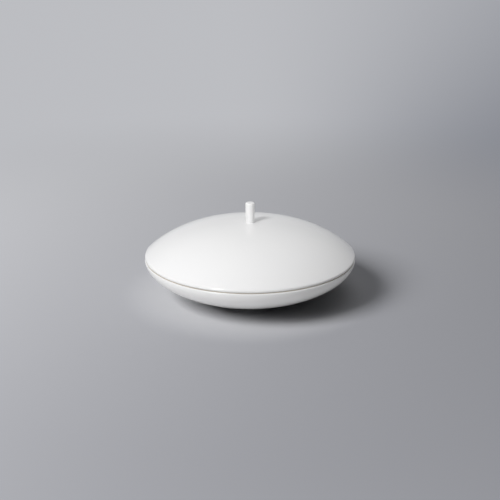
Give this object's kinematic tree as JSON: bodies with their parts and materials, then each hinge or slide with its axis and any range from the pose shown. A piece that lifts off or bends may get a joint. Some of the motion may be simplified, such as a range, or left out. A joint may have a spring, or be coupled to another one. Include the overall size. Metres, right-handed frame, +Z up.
{
  "type": "covered soup bowl",
  "caption": "Shallow round porcelain soup bowl on a foot ring, with a low domed lid that lifts off by a slim stick knob.",
  "frame": {"origin": "centre of the foot ring, on the surface that the bowl stands on", "axes": "+Z up along the axis that every piece is turned about; X and Y are free, because the object is round"},
  "size_m": [0.203, 0.203, 0.0909],
  "materials": {
    "white_glaze": "glossy clear glaze over white porcelain, bare on the standing ring and on the faces where the lid meets the rim"
  },
  "bodies": {
    "bowl": {"bowl": "white_glaze"},
    "lid": {"lid": "white_glaze", "knob": "white_glaze"}
  },
  "joints": [
    {"name": "lid_lift", "type": "slide", "parent": "bowl", "child": "lid", "axis": [0, 0, 1], "range_m": [0, 0.12]}
  ]
}
